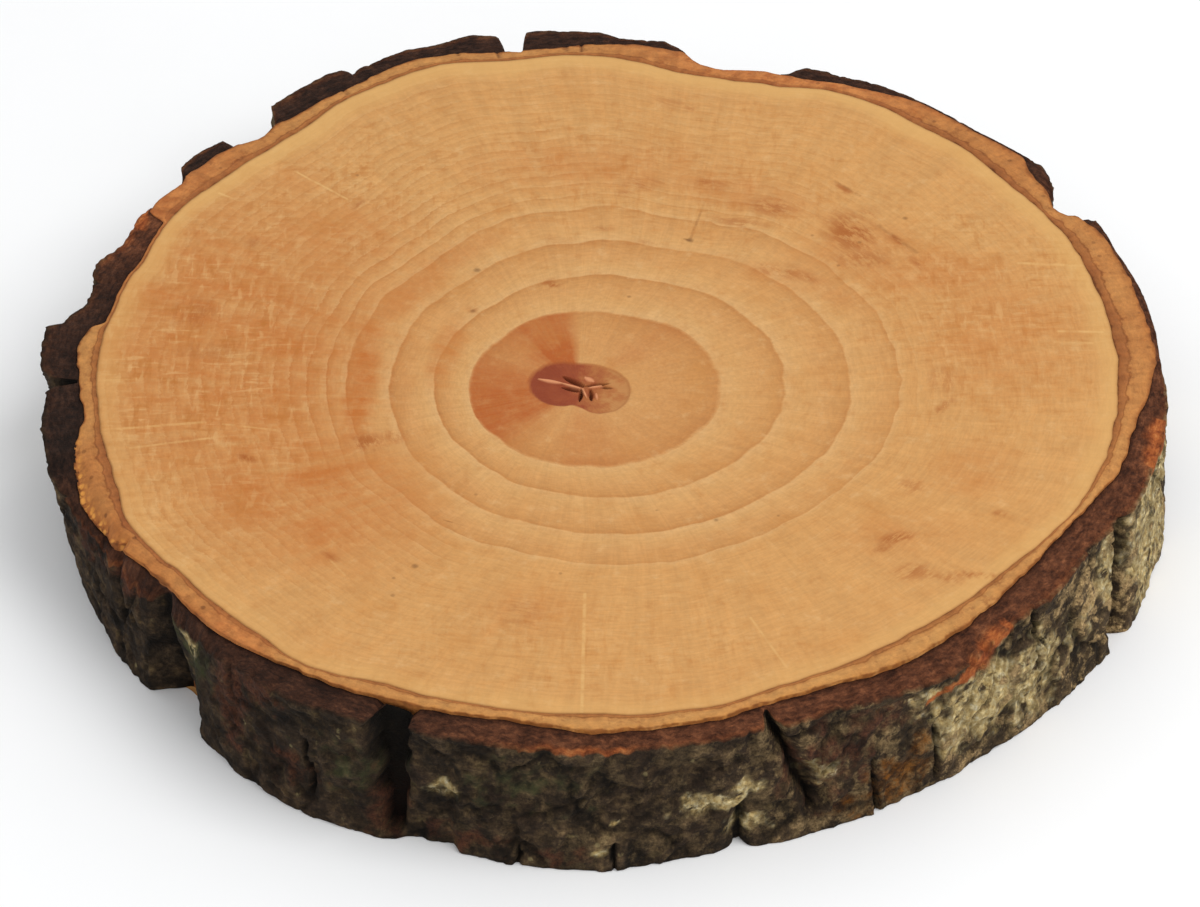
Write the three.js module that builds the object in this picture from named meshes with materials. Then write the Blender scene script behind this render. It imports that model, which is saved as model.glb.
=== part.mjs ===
// Wood slice: one straight cross cut through a trunk, bark still on, lying on its lower sawn face.
// Units are millimetres, +Z is up, and the origin is the middle of the footprint on the lower face.
// Wood and bark grew together, so the slice is a single solid.
import * as THREE from 'three';

const THICKNESS = 32; // between the two sawn faces
const HEADING_STEPS = 360; // facets round the rim
const BANDS = 8; // rows of facets from the lower face up to the upper face
const FULL_TURN = 360; // degrees

const CUT_WOOD_COLOUR = 0xd9a15c;
const CUT_WOOD_ROUGHNESS = 0.8;

// The outer edge of the bark on each sawn face, as [heading in degrees, distance from the middle].
// Headings turn from +X towards +Y. Steep steps are the broken ends of bark plates.
const UPPER_RIM = [
  [0, 124], [10, 124.5], [18, 124], [24, 125.5], [25.4, 124.8], [25.8, 121], [27.6, 119], [30, 121],
  [32.2, 124.4], [35, 126], [44, 124.2], [56, 125.2], [60.5, 124.8], [67, 123], [68.5, 119.8],
  [75.5, 116.2], [78.5, 117.7], [80.5, 122.4], [83, 125], [87.5, 125.3], [89.6, 127.9], [96.7, 129.5],
  [98.3, 129], [98.8, 121.5], [100.3, 122.2], [100.8, 128.5], [104, 130.7], [108, 128.7],
  [111, 129.6], [117.6, 126.5], [118.2, 125], [118.8, 128], [121, 128.2], [129, 124], [130.3, 118.4],
  [133.5, 115.8], [136.2, 117.5], [136.8, 121.5], [143, 121.5], [145.5, 117.3], [150, 118.2],
  [158.4, 117], [163, 119.5], [166, 117.8], [170.8, 117], [171.5, 119], [174.2, 120], [174.8, 124.2],
  [178.7, 124], [184, 121.6], [190.4, 123.3], [197, 124.2], [203, 123.5], [210, 121], [220, 121],
  [228, 122.5], [234, 126], [240, 127.6], [249, 127.2], [253, 126.2], [264, 126.2], [279, 125.2],
  [293, 124.2], [305, 126], [312, 123], [318.5, 123.7], [328, 121.5], [336.5, 125.4], [348, 125.2],
];
const LOWER_RIM = [
  [0, 127.5], [12, 127.5], [24, 126.5], [26.5, 123], [30, 123], [32.5, 126.5], [42, 125], [56, 125.5],
  [66, 122], [75, 117.5], [82, 120.5], [84, 123.5], [92, 126], [98.3, 126.5], [98.8, 121.5],
  [100.3, 122], [100.8, 126.5], [110, 126], [120, 124], [129.5, 121.5], [131, 117], [137, 116.5],
  [138.5, 119.5], [145, 119], [147, 115.5], [163, 115.5], [172, 116.5], [174.5, 119.5], [186, 120.5],
  [195, 119.4], [205, 120], [215, 121.7], [218, 121], [219.5, 116], [225, 116.5], [226.5, 121.7],
  [233, 125.3], [242, 127.7], [251.5, 127.6], [252.2, 125], [256, 125.4], [257, 127.8], [266, 129.3],
  [271, 129], [280, 126.5], [294, 126.1], [310, 124.2], [324, 125.6], [336, 126.8], [352, 127],
];

// Cracks between bark plates. A crack leans from its lower heading to its upper heading, and it is
// open between the levels start and end, where 0 is the lower face and 1 is the upper face.
const CRACKS = [
  { lower: 250.4, upper: 250.2, halfWidth: 1.8, depth: 6.5, start: 0.1, end: 1 },
  { lower: 221.5, upper: 219.5, halfWidth: 2.6, depth: 4, start: 0, end: 0.9 },
  { lower: 214, upper: 212, halfWidth: 1.5, depth: 3, start: 0.4, end: 1 },
  { lower: 283, upper: 283.5, halfWidth: 1.2, depth: 3.5, start: 0, end: 0.35 },
  { lower: 292, upper: 286, halfWidth: 1.3, depth: 4.5, start: 0.2, end: 1 },
  { lower: 332, upper: 334, halfWidth: 1.6, depth: 5.5, start: 0, end: 0.9 },
  { lower: 16, upper: 13, halfWidth: 1.4, depth: 3.5, start: 0, end: 0.8 },
  { lower: 47, upper: 50, halfWidth: 1.4, depth: 3, start: 0, end: 0.75 },
  { lower: 87.5, upper: 88.5, halfWidth: 1.5, depth: 4.5, start: 0, end: 0.6 },
  { lower: 116.5, upper: 118.2, halfWidth: 1.5, depth: 4, start: 0, end: 0.8 },
  { lower: 156, upper: 154, halfWidth: 1.6, depth: 3, start: 0, end: 0.8 },
  { lower: 186, upper: 184, halfWidth: 1.6, depth: 3.5, start: 0, end: 1 },
];

/** Distance from the middle to a rim at a heading, along the straight line between its points. */
function rimRadius(rim, heading) {
  const after = rim.findIndex(([pointHeading]) => pointHeading > heading);
  const [h0, r0] = after < 0 ? rim.at(-1) : rim[after - 1];
  const [h1, r1] = after < 0 ? [FULL_TURN, rim[0][1]] : rim[after];
  return THREE.MathUtils.mapLinear(heading, h0, h1, r0, r1);
}

/** How deep the cracks cut into the bark at a heading and level: a V across each crack. */
function crackDepth(heading, level) {
  const cuts = CRACKS.map((crack) => {
    if (level < crack.start || level > crack.end) return 0;
    const middle = THREE.MathUtils.lerp(crack.lower, crack.upper, level);
    return crack.depth * Math.max(0, 1 - Math.abs(heading - middle) / crack.halfWidth);
  });
  return Math.max(...cuts);
}

/** Distance from the middle to the bark's surface at a heading and level. */
function barkRadius(heading, level) {
  const lower = rimRadius(LOWER_RIM, heading);
  const upper = rimRadius(UPPER_RIM, heading);
  return THREE.MathUtils.lerp(lower, upper, level) - crackDepth(heading, level);
}

/** The closed surface: rings of points up the bark, and a fan over each sawn face. */
function sliceGeometry() {
  const positions = [];
  for (let band = 0; band <= BANDS; band++) {
    const level = band / BANDS;
    for (let step = 0; step < HEADING_STEPS; step++) {
      const heading = (step / HEADING_STEPS) * FULL_TURN;
      const radius = barkRadius(heading, level);
      const angle = THREE.MathUtils.degToRad(heading);
      positions.push(radius * Math.cos(angle), radius * Math.sin(angle), level * THICKNESS);
    }
  }
  const lowerMiddle = positions.length / 3;
  const upperMiddle = lowerMiddle + 1;
  positions.push(0, 0, 0, 0, 0, THICKNESS);

  const triangles = [];
  const topRing = BANDS * HEADING_STEPS;
  for (let step = 0; step < HEADING_STEPS; step++) {
    const next = (step + 1) % HEADING_STEPS;
    triangles.push(lowerMiddle, next, step, upperMiddle, topRing + step, topRing + next);
    for (let band = 0; band < BANDS; band++) {
      const below = band * HEADING_STEPS;
      const above = below + HEADING_STEPS;
      triangles.push(below + step, below + next, above + next);
      triangles.push(below + step, above + next, above + step);
    }
  }

  const geometry = new THREE.BufferGeometry();
  geometry.setAttribute('position', new THREE.Float32BufferAttribute(positions, 3));
  geometry.setIndex(triangles);
  return geometry;
}

/** Moves the geometry so that its footprint is centred on the origin. */
function centreFootprint(geometry) {
  geometry.computeBoundingBox();
  const middle = geometry.boundingBox.getCenter(new THREE.Vector3());
  geometry.translate(-middle.x, -middle.y, 0);
  geometry.computeVertexNormals();
  return geometry;
}

const cutWood = new THREE.MeshStandardMaterial({
  color: CUT_WOOD_COLOUR,
  roughness: CUT_WOOD_ROUGHNESS,
  metalness: 0,
});

const woodSlice = new THREE.Mesh(centreFootprint(sliceGeometry()), cutWood);
woodSlice.name = 'wood_slice';

const slice = new THREE.Group();
slice.add(woodSlice);

export default slice;
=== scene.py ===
# %% [markdown]
# # A slice of a trunk, sawn straight across
#
# The real object is one piece of a tree: pale wood in the middle, a narrow ring of inner bark
# round it, and dark, cracked outer bark outside. It was sawn twice and lightly sanded, so almost
# all of its look is in three places: the year rings, the edge where the bark begins, and the rough
# side. Each of the three layers is one mesh here, because each has its own shape and its own finish.
# They overlap a little, as layers that grew together do, so no light shows between them.

# %% Load the fixed frame
import math

import bpy
import numpy as np
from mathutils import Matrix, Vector, noise


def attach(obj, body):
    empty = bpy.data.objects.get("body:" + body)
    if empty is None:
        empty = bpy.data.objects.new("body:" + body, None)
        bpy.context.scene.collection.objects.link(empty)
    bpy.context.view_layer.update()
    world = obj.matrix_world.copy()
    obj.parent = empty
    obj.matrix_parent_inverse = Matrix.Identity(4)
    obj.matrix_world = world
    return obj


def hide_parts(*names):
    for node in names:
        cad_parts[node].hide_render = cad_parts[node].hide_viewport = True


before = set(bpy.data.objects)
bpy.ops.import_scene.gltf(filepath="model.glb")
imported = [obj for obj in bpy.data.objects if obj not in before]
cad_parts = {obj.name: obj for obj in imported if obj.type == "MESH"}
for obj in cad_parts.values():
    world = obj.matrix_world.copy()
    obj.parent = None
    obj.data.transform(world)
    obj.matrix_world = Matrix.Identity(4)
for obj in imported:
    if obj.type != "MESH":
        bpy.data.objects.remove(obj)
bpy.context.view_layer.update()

MM = 0.001
FULL_TURN = 360.0

# %% [markdown]
# ## Reading the trunk's outline
#
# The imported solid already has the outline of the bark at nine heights. Instead of writing it down
# a second time, its own corners are read back and sorted by heading, which gives one function for
# the distance from the middle to the bark. Everything rough is added on top of that function.

# %% The bark's outline as a function
cad_points = np.array([v.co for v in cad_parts["wood_slice"].data.vertices]) / MM
THICKNESS = float(cad_points[:, 2].max())
upper_face = cad_points[cad_points[:, 2] > THICKNESS - 0.01]
middle = upper_face[np.argmin(np.hypot(upper_face[:, 0], upper_face[:, 1])), :2]
away = cad_points[:, :2] - middle
corner_radius = np.hypot(away[:, 0], away[:, 1])
corner_heading = np.degrees(np.arctan2(away[:, 1], away[:, 0])) % FULL_TURN
levels = np.unique(np.round(cad_points[:, 2], 2))
degrees = np.arange(FULL_TURN)
outline_by_level = []
for level in levels:
    on_ring = (np.abs(cad_points[:, 2] - level) < 0.05) & (corner_radius > 50)
    order = np.argsort(corner_heading[on_ring])
    outline_by_level.append(
        np.interp(degrees, corner_heading[on_ring][order], corner_radius[on_ring][order], period=FULL_TURN)
    )
outline_by_level = np.array(outline_by_level)
print("levels", levels.tolist(), "middle", middle.round(2).tolist())


def solid_radius(heading, height):
    """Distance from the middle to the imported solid's side, by straight lines between its corners."""
    turn = np.mod(heading, FULL_TURN)
    before = np.floor(turn).astype(int) % len(degrees)
    after = (before + 1) % len(degrees)
    between = turn - np.floor(turn)
    lift = np.clip(height / THICKNESS, 0, 1) * (len(levels) - 1)
    below = np.minimum(np.floor(lift).astype(int), len(levels) - 2)
    rise = lift - below
    low, high = (
        outline_by_level[ring, before] * (1 - between) + outline_by_level[ring, after] * between
        for ring in (below, below + 1)
    )
    return low * (1 - rise) + high * rise


# %% [markdown]
# The two inner borders, where wood meets inner bark and where inner bark meets outer bark, aren't
# in the solid. They are drawn as distances from the middle, one every ten degrees, with a smooth
# curve through them. The trunk leaned a little, so both borders slide sideways towards the underside.

# %% The two inner borders
WOOD_EDGE = [
    114.5, 114.5, 115.5, 115.5, 116, 117, 117, 112.5, 112.5, 118, 118, 120,
    116.5, 111.5, 110, 111, 109.5, 110, 111, 110.5, 111.5, 114.5, 114.5, 115.5,
    118, 116.5, 117, 117, 117, 114.5, 113, 112, 112, 113.5, 114.5, 114.5,
]
BAST_EDGE = [
    123, 123, 123.5, 120.5, 125, 124.5, 121, 118, 121, 122.5, 121.5, 124.5,
    120, 117.5, 117.5, 118, 111.3, 112, 115.5, 114, 119.5, 119.8, 118, 120.5,
    120, 120, 119.5, 121.5, 120, 117.5, 118.5, 117, 115, 115, 118, 119,
]
OVERGROWN = (153.5, 173.5)  # between these headings the inner bark is a mere line
LEAN = (3.0, -2.0)  # how far the underside's outline lies from the upper one's


def smooth_outline(radii, heading):
    """A smooth closed curve through radii that stand at equal steps round the turn."""
    count = len(radii)
    place = np.mod(heading, FULL_TURN) / FULL_TURN * count
    at = np.floor(place).astype(int)
    t = place - at
    p0, p1, p2, p3 = (np.take(radii, at + shift, mode="wrap") for shift in (-1, 0, 1, 2))
    bend = (2 * p0 - 5 * p1 + 4 * p2 - p3) * t**2 + (3 * p1 - p0 - 3 * p2 + p3) * t**3
    return 0.5 * (2 * p1 + (p2 - p0) * t + bend)


def lean_shift(heading, height):
    """How much further out the leaning trunk's border is at a height below the upper face."""
    turn = np.radians(heading)
    return (1 - height / THICKNESS) * (LEAN[0] * np.cos(turn) + LEAN[1] * np.sin(turn))


# %% [markdown]
# ## Helpers for rough surfaces
#
# Bark and wood are never smooth, so every layer needs noise: a soft random field that gives the
# same value each time it is asked about the same place. Blender's noise functions are read at the
# mesh's own points, which makes real bumps in the mesh, and the finish adds only what is finer.

# %% Noise and soft steps


def soft_step(low, high, value):
    """0 below low and 1 above high, with a smooth slope between them."""
    t = np.clip((value - low) / (high - low), 0, 1)
    return t * t * (3 - 2 * t)


def rough(points, size, octaves=3, offset=0.0):
    """A noise field from about -1 to 1 whose lumps are size across (one number, or one for each axis)."""
    scaled = points.reshape(-1, 3) / np.array(size) + offset
    values = [noise.fractal(Vector(p), 1.0, 2.0, octaves) for p in scaled]
    return np.array(values).reshape(points.shape[:-1])


def plates(points, size, offset=0.0):
    """Splits space into cells: the distance to the nearest border, and a number that each cell keeps."""
    scaled = points.reshape(-1, 3) / np.array(size) + offset
    borders = []
    tones = []
    for p in scaled:
        distances, seeds = noise.voronoi(Vector(p))
        borders.append(distances[1] - distances[0])
        tones.append(noise.cell(seeds[0] * 7.3))
    shape = points.shape[:-1]
    return np.array(borders).reshape(shape), np.array(tones).reshape(shape)


def on_trunk(heading, radius, height):
    """The points at headings, distances from the middle and heights, in millimetres."""
    turn = np.radians(heading)
    x = middle[0] + radius * np.cos(turn)
    y = middle[1] + radius * np.sin(turn)
    return np.stack(np.broadcast_arrays(x, y, height), axis=-1)


def by_heading(stops, heading):
    """A value that changes in straight lines between (heading, value) stops, all the way round."""
    places, values = zip(*stops)
    return np.interp(np.mod(heading, FULL_TURN), places, values, period=FULL_TURN)


def turn_apart(heading, other):
    """The signed angle from one heading to another, the short way round."""
    return (heading - other + FULL_TURN / 2) % FULL_TURN - FULL_TURN / 2


# %% [markdown]
# Neither border is as smooth as its curve. Both waver by a fraction of a millimetre, so the waver is
# worked out once, close together round the turn, and looked up whenever a border is asked for.

# %% The wavering borders
BARK_SKIN = 0.45  # the outer bark is never thinner than this
THIN_BAST = 0.7  # how wide the inner bark is where the outer bark has overgrown it
TAPER = 1.2  # degrees over which it narrows to that
OVERLAP = 0.25  # how far neighbouring layers run into each other on the sawn face
DEEP_OVERLAP = 0.6  # and how far inside the slice
fine_turn = np.arange(0, FULL_TURN, 0.1)
ring_line = on_trunk(fine_turn, 118.0, 0.0)
wood_waver = 0.8 * rough(ring_line, 14, 2, 7) + 0.2 * rough(ring_line, 3.5, 2, 17)
bast_waver = 0.85 * rough(ring_line, 11, 3, 27) + 0.5 * np.maximum(0, rough(ring_line, 4.0, 2, 37))


def wood_radius(heading):
    """Distance from the middle to the edge of the wood on the upper face."""
    waver = np.interp(np.mod(heading, FULL_TURN), fine_turn, wood_waver, period=FULL_TURN)
    return smooth_outline(WOOD_EDGE, heading) + waver


def bast_radius(heading, height):
    """The border between inner and outer bark; it never comes out through the solid's side."""
    waver = np.interp(np.mod(heading, FULL_TURN), fine_turn, bast_waver, period=FULL_TURN)
    border = smooth_outline(BAST_EDGE, heading) + waver
    start, end = OVERGROWN
    turn = heading % FULL_TURN
    overgrown = soft_step(start - TAPER, start, turn) * soft_step(end + TAPER, end, turn)
    thinnest = wood_radius(heading) + THIN_BAST
    border = thinnest + np.maximum(border - thinnest, 0) * (1 - overgrown)
    furthest = solid_radius(heading, height) - BARK_SKIN - OVERLAP
    return np.minimum(border + lean_shift(heading, height), furthest)


print("the wood's edge wavers by up to", round(float(np.abs(wood_waver).max()), 2), "mm")

# %% [markdown]
# ## Building a mesh from a grid of points
#
# All three layers are grids bent round the trunk: rows follow the cross-section and columns go
# round it. The grid also carries what the finish wants to know at each point, such as the painted
# shade in a crack, as named attributes, and a flat map, so that the finish can be baked to a picture.

# %% Grid to mesh
MAP_NAME = "OFBake"
MAP_REACH = 128.0  # half the width of the map of the sawn wood, in millimetres


def plan_to_map(plan):
    """Places on the flat map for places on the sawn face."""
    return 0.5 + plan / (2 * MAP_REACH)


def around(grid):
    """For each face between two rows and two columns of a grid, the grid's values at its four corners."""
    beside = np.roll(grid, -1, axis=1)
    return np.stack([grid[:-1], beside[:-1], beside[1:], grid[1:]], axis=2)


def strip_map(across, columns, strips):
    """Lays a closed ring out flat as a few strips, one above the other. across holds each row's place."""
    gap = 0.012
    per_strip = columns // strips
    strip, step = np.divmod(np.arange(columns), per_strip)
    start = gap + step / per_strip * (1 - 2 * gap)
    width = (1 - 2 * gap) / per_strip
    u = np.stack([start, start + width, start + width, start], -1)
    low, high = across[:-1, None], across[1:, None]
    v_share = np.stack([low, low, high, high], -1)
    v = (strip[:, None] + gap + v_share * (1 - 2 * gap)) / strips
    return np.stack(np.broadcast_arrays(u, v), -1)


def grid_piece(name, points, fields, corner_map, caps=()):
    """A closed mesh from points[row, column]. Without caps the last row joins the first one.

    corner_map holds a flat place for each corner of each face. A cap is (row, middle point, facing up).
    """
    rows, columns = points.shape[:2]
    indices = np.arange(rows * columns).reshape(rows, columns)
    faces = around(indices if caps else np.vstack([indices, indices[:1]])).reshape(-1, 4).tolist()
    places = [corner_map.reshape(-1, 2)]
    vertices = points.reshape(-1, 3).tolist()
    for row, hub_point, faces_up in caps:
        hub = len(vertices)
        vertices.append(list(hub_point))
        rim = indices[row].tolist()
        beside = corner_map[-1, :, [3, 2]] if faces_up else corner_map[0, :, [1, 0]]
        hub_places = np.broadcast_to(beside.mean((0, 1)), (columns, 2))
        places.append(np.stack([*beside, hub_places], axis=1).reshape(-1, 2))
        for near, far in zip(rim, rim[1:] + rim[:1]):
            faces.append([near, far, hub] if faces_up else [far, near, hub])
    mesh = bpy.data.meshes.new(name)
    mesh.from_pydata((np.array(vertices) * MM).tolist(), [], faces)
    for field, values in fields.items():
        flat = np.asarray(values, float).reshape(rows * columns, -1)
        hubs = [flat.reshape(rows, columns, -1)[row].mean(0, keepdims=True) for row, _, _ in caps]
        flat = np.concatenate([flat, *hubs])
        kind, key = ("FLOAT_VECTOR", "vector") if flat.shape[1] == 3 else ("FLOAT", "value")
        mesh.attributes.new(field, kind, "POINT").data.foreach_set(key, flat.astype(np.float32).ravel())
    layer = mesh.uv_layers.new(name=MAP_NAME)
    layer.data.foreach_set("uv", np.concatenate(places).astype(np.float32).ravel())
    mesh.polygons.foreach_set("use_smooth", [True] * len(faces))
    mesh.update()
    piece = bpy.data.objects.new(name, mesh)
    bpy.context.scene.collection.objects.link(piece)
    print(name, len(vertices), "points,", sum(len(face) - 2 for face in faces), "triangles")
    return piece


# %% [markdown]
# ## The wood
#
# Year rings aren't circles round one point. This tree's pith is well off the middle, the first
# rings are round, and each later ring is a bit more like the wavy outline under the bark. So the
# mesh is built the way the tree grew: its grid lines are growth lines, whose centre wanders from
# the pith to the middle and whose outline blends from a circle to the border. Every point then
# knows its age in years, and the finish only has to paint by that age.

# %% How the tree grew
PITH = (-5.8, -11.3)
RING_CENTRES = [  # mean radius of a ring, and where its centre is
    (0, PITH), (28, (-2.7, -10.9)), (39, (0.3, -9.4)), (51, (2.3, -9.2)), (62, (2.7, -7.5)),
]
RING_RADII = [0, 27.8, 39, 51.3, 62, 66, 70, 73.5, *range(77, 111, 3), 112.5]
MEAN_EDGE = float(np.mean(WOOD_EDGE))
WOOD_COLUMNS = 640
ages = list(range(len(RING_RADII) + 1))


def growth_point(reach, heading):
    """The plan position at a heading on the growth line of a mean radius."""
    known, centres = zip(*RING_CENTRES, (MEAN_EDGE, tuple(middle)))
    centre_x = np.interp(reach, known, [c[0] for c in centres])
    centre_y = np.interp(reach, known, [c[1] for c in centres])
    likeness = np.interp(reach, [0, 20, 62, MEAN_EDGE], [0, 0.15, 0.85, 1])
    stretch = 1 + likeness * (wood_radius(heading) / MEAN_EDGE - 1)
    turn = np.radians(heading)
    radius = reach * stretch
    return centre_x + radius * np.cos(turn), centre_y + radius * np.sin(turn)


def wood_rows(fine_step, coarse_step):
    """Mean radii of the grid lines on one face: close round the pith, wider apart further out."""
    reach = [0.25]
    while reach[-1] < MEAN_EDGE - 1.5:
        nearness = float(soft_step(9, 20, reach[-1]))
        reach.append(reach[-1] + fine_step + (coarse_step - fine_step) * nearness)
    return np.array(reach + [MEAN_EDGE - 0.5, MEAN_EDGE])


upper_rows = wood_rows(0.33, 1.5)
lower_rows = wood_rows(1.0, 3.7)
print("grid lines on the upper face", len(upper_rows), "and on the lower face", len(lower_rows))

# %% [markdown]
# The pith itself split as the wood dried. The split is a few short strokes that meet in a small
# star, each one a groove with its own width and depth, cut into the fine part of the grid. The
# grooves are also painted dark, as painted shade.

# %% The split pith and the lobes round it
PITH_LOBES = [(-9.8, -9.7, 7.3, 7.8), (-1.4, -12.1, 6.4, 8), (-4.8, -8.8, 5.4, 6.2)]  # x, y, half sizes
SPLITS_IN_PITH = [  # from x, y to x, y, then half width and depth
    (-9.6, -6.9, -5, -10.3, 0.95, 1.6), (-9.8, -10.7, -5.6, -12.1, 0.7, 1.4),
    (-5.5, -11.8, -6, -15.3, 0.6, 1.6), (-3.6, -11.4, -3.5, -15.2, 0.6, 1.6),
    (-4.6, -10.1, 0.2, -9.3, 0.75, 1.6), (-1.6, -10.4, 0.9, -11, 0.6, 1.2),
]
SLIVERS = [  # the same, and how far each pale sliver stands proud of the split
    (-15, -7.9, -9.8, -9.4, 0.85, 0.3), (-10.2, -9.3, -5.2, -11.5, 0.55, 0.35),
    (-5.4, -11.2, -4.5, -14.4, 0.4, 0.3), (-4, -11, -1.2, -10.3, 0.45, 0.3),
    (-2.4, -12.6, -2.2, -15, 0.35, 0.2), (-4.8, -7.2, -3, -8.6, 1, 0.1),
]


def along_stroke(x, y, stroke):
    """1 on a stroke's line, falling to 0 at its half width, with pointed ends."""
    x0, y0, x1, y1, half_width, _ = stroke
    length = math.hypot(x1 - x0, y1 - y0)
    along = ((x - x0) * (x1 - x0) + (y - y0) * (y1 - y0)) / length**2
    held = np.clip(along, 0, 1)
    off = np.hypot(x - x0 - held * (x1 - x0), y - y0 - held * (y1 - y0))
    taper = 0.35 + 0.65 * np.sin(np.pi * held)
    return soft_step(1.0, 0.25, off / (half_width * taper))


def pith_lobes(x, y, ragged):
    """1 inside the dark heart of the pith and 0 outside it, with the lobes run together."""
    sharpness = 9.0
    together = sum(
        np.exp(-sharpness * np.hypot((x - lobe_x) / half_x, (y - lobe_y) / half_y))
        for lobe_x, lobe_y, half_x, half_y in PITH_LOBES
    )
    inside = -np.log(together) / sharpness
    return soft_step(1.04, 0.93, inside + 0.03 * ragged)


# %% [markdown]
# Stains and warm patches are soft ovals laid over the rings. Each one has a place, two half sizes
# and a tilt. They are kept as a list because nothing orders them: the saw, the sap and the weather
# put each one where it is.

# %% Warm patches, stains and the ring strength
HEART_WARMTH = [  # how orange the first year's wood is, by heading from the pith
    (0, 0.12), (30, 0.12), (48, 0.4), (60, 0.2), (90, 0.1), (99, 1.2), (120, 1.3), (131, 0.75),
    (146, 0.55), (158, 0.75), (175, 0.95), (205, 1.05), (222, 0.95), (232, 0.4), (250, 0.15),
    (266, 0.4), (285, 0.35), (300, 0.2), (330, 0.12),
]
WARM_PATCHES = [  # x, y, half length, half width, tilt in degrees, strength
    (-54, -8, 5, 30, -4, 0.95), (-45, 22, 6, 16, -35, 0.5), (-36, 36, 16, 5, 42, 0.4),
    (-36, 2, 4, 16, -12, 0.55), (-50, -30, 9, 6, 0, 0.35), (-84, 6, 40, 60, 0, 0.76),
    (-66, 40, 26, 20, 30, 0.5), (-66, -46, 34, 26, -40, 0.78), (-2, 72, 34, 11, 0, 0.4),
    (30, 62, 24, 8, -25, 0.4), (46, 26, 22, 5, -28, 0.3), (74, 30, 24, 12, -10, 0.45),
    (88, 8, 22, 26, 0, 0.4), (62, -62, 16, 9, 10, 0.3), (78, -40, 12, 10, 40, 0.3),
    (58, 40, 16, 12, 0, 0.35), (-18, -86, 14, 10, 0, 0.28), (-72, 66, 8, 8, 0, 0.35),
]
RINGS_SEEN = [  # how clearly the rings stand out, by heading from the pith
    (0, 0.22), (40, 0.25), (62, 0.4), (90, 0.45), (120, 0.65), (150, 0.9), (200, 0.85), (225, 0.45),
    (250, 0.15), (300, 0.1), (340, 0.15),
]
STAINS = [  # the same numbers for each brown stain
    (56, 46, 6, 9, 15, 0.75), (58, 36, 7, 5, 0, 0.5), (38, 56, 6, 4, -20, 0.6),
    (30, 50, 7, 2, -12, 0.5), (24, 65, 5, 1.6, -15, 0.6), (8, 65, 5, 2.5, 0, 0.45),
    (4, 61, 3, 0.8, 0, 0.6), (0, 47, 4, 1, -12, 0.45), (8, 42, 4, 0.9, 0, 0.45),
    (-12, 43, 4, 1.4, -8, 0.35), (40, 31, 8, 2.6, -15, 0.5), (45, 29, 4, 1.6, -30, 0.45),
    (66, 43, 5, 1, -52, 0.85), (71, 34, 4, 0.8, -58, 0.7), (55, 63, 3, 1.4, -50, 0.7),
    (61, 54, 3, 1.2, -50, 0.6), (-12, 26.5, 3.4, 1.4, -14, 0.8), (-52, -30, 4, 3.4, 0, 0.7),
    (-46, -28, 3, 2.6, 0, 0.45), (-77.5, -35.5, 2.6, 1.2, -30, 0.85), (61, -62, 4.6, 1.9, 18, 0.8),
    (58, -65.5, 2.4, 1.2, 30, 0.6), (64, -73, 5, 3, 10, 0.55), (70, -75, 5, 1.6, -10, 0.5),
    (77, -74, 7, 0.8, -4, 0.7), (82, -76, 3, 0.7, -35, 0.6), (83, -54, 3, 1.2, -20, 0.5),
    (65, -45, 3, 3, 0, 0.4), (73.5, -17.5, 4, 0.9, 52, 0.65), (74, -8, 4, 5, 0, 0.3),
    (-57, 57, 4, 1, 65, 0.55), (-80, 42, 3, 2.4, 0, 0.45), (-92, 16, 6, 6, 0, 0.4),
    (-88, 2, 7, 4, 0, 0.3), (-58, -68, 2.6, 1.2, -40, 0.6), (-30, 17, 1.6, 1.6, 0, 0.45),
    (-18, -86, 5, 5, 0, 0.3), (15, 98, 6, 3, -10, 0.3), (20, 96, 2, 2, 0, 0.4),
    (-90, -30, 10, 2, 5, 0.25),
]
SAPWOOD = [  # how pale the last years' wood is, by heading from the pith
    (0, 0.5), (60, 0.75), (100, 0.7), (140, 0.75), (170, 0.4), (195, 0.2), (230, 0.3), (260, 0.35),
    (300, 0.35), (330, 0.5),
]
SAW_PATCHES = [  # where the saw's tooth marks weren't sanded away
    (-92, 0, 36, 70, 0, 0.9), (-60, 60, 40, 34, 0, 0.5), (88, 20, 34, 44, 0, 0.6),
    (10, 70, 60, 34, 0, 0.4), (-10, -98, 60, 20, 0, 0.3),
]


def oval_patches(x, y, patches):
    """The strongest of the soft tilted ovals at each point."""
    strongest = np.zeros(x.shape)
    for patch_x, patch_y, half_length, half_width, tilt, strength in patches:
        turn = math.radians(tilt)
        along = ((x - patch_x) * math.cos(turn) + (y - patch_y) * math.sin(turn)) / half_length
        across = (-(x - patch_x) * math.sin(turn) + (y - patch_y) * math.cos(turn)) / half_width
        strongest = np.maximum(strongest, strength * soft_step(1.35, 0.25, np.hypot(along, across)))
    return strongest


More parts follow.
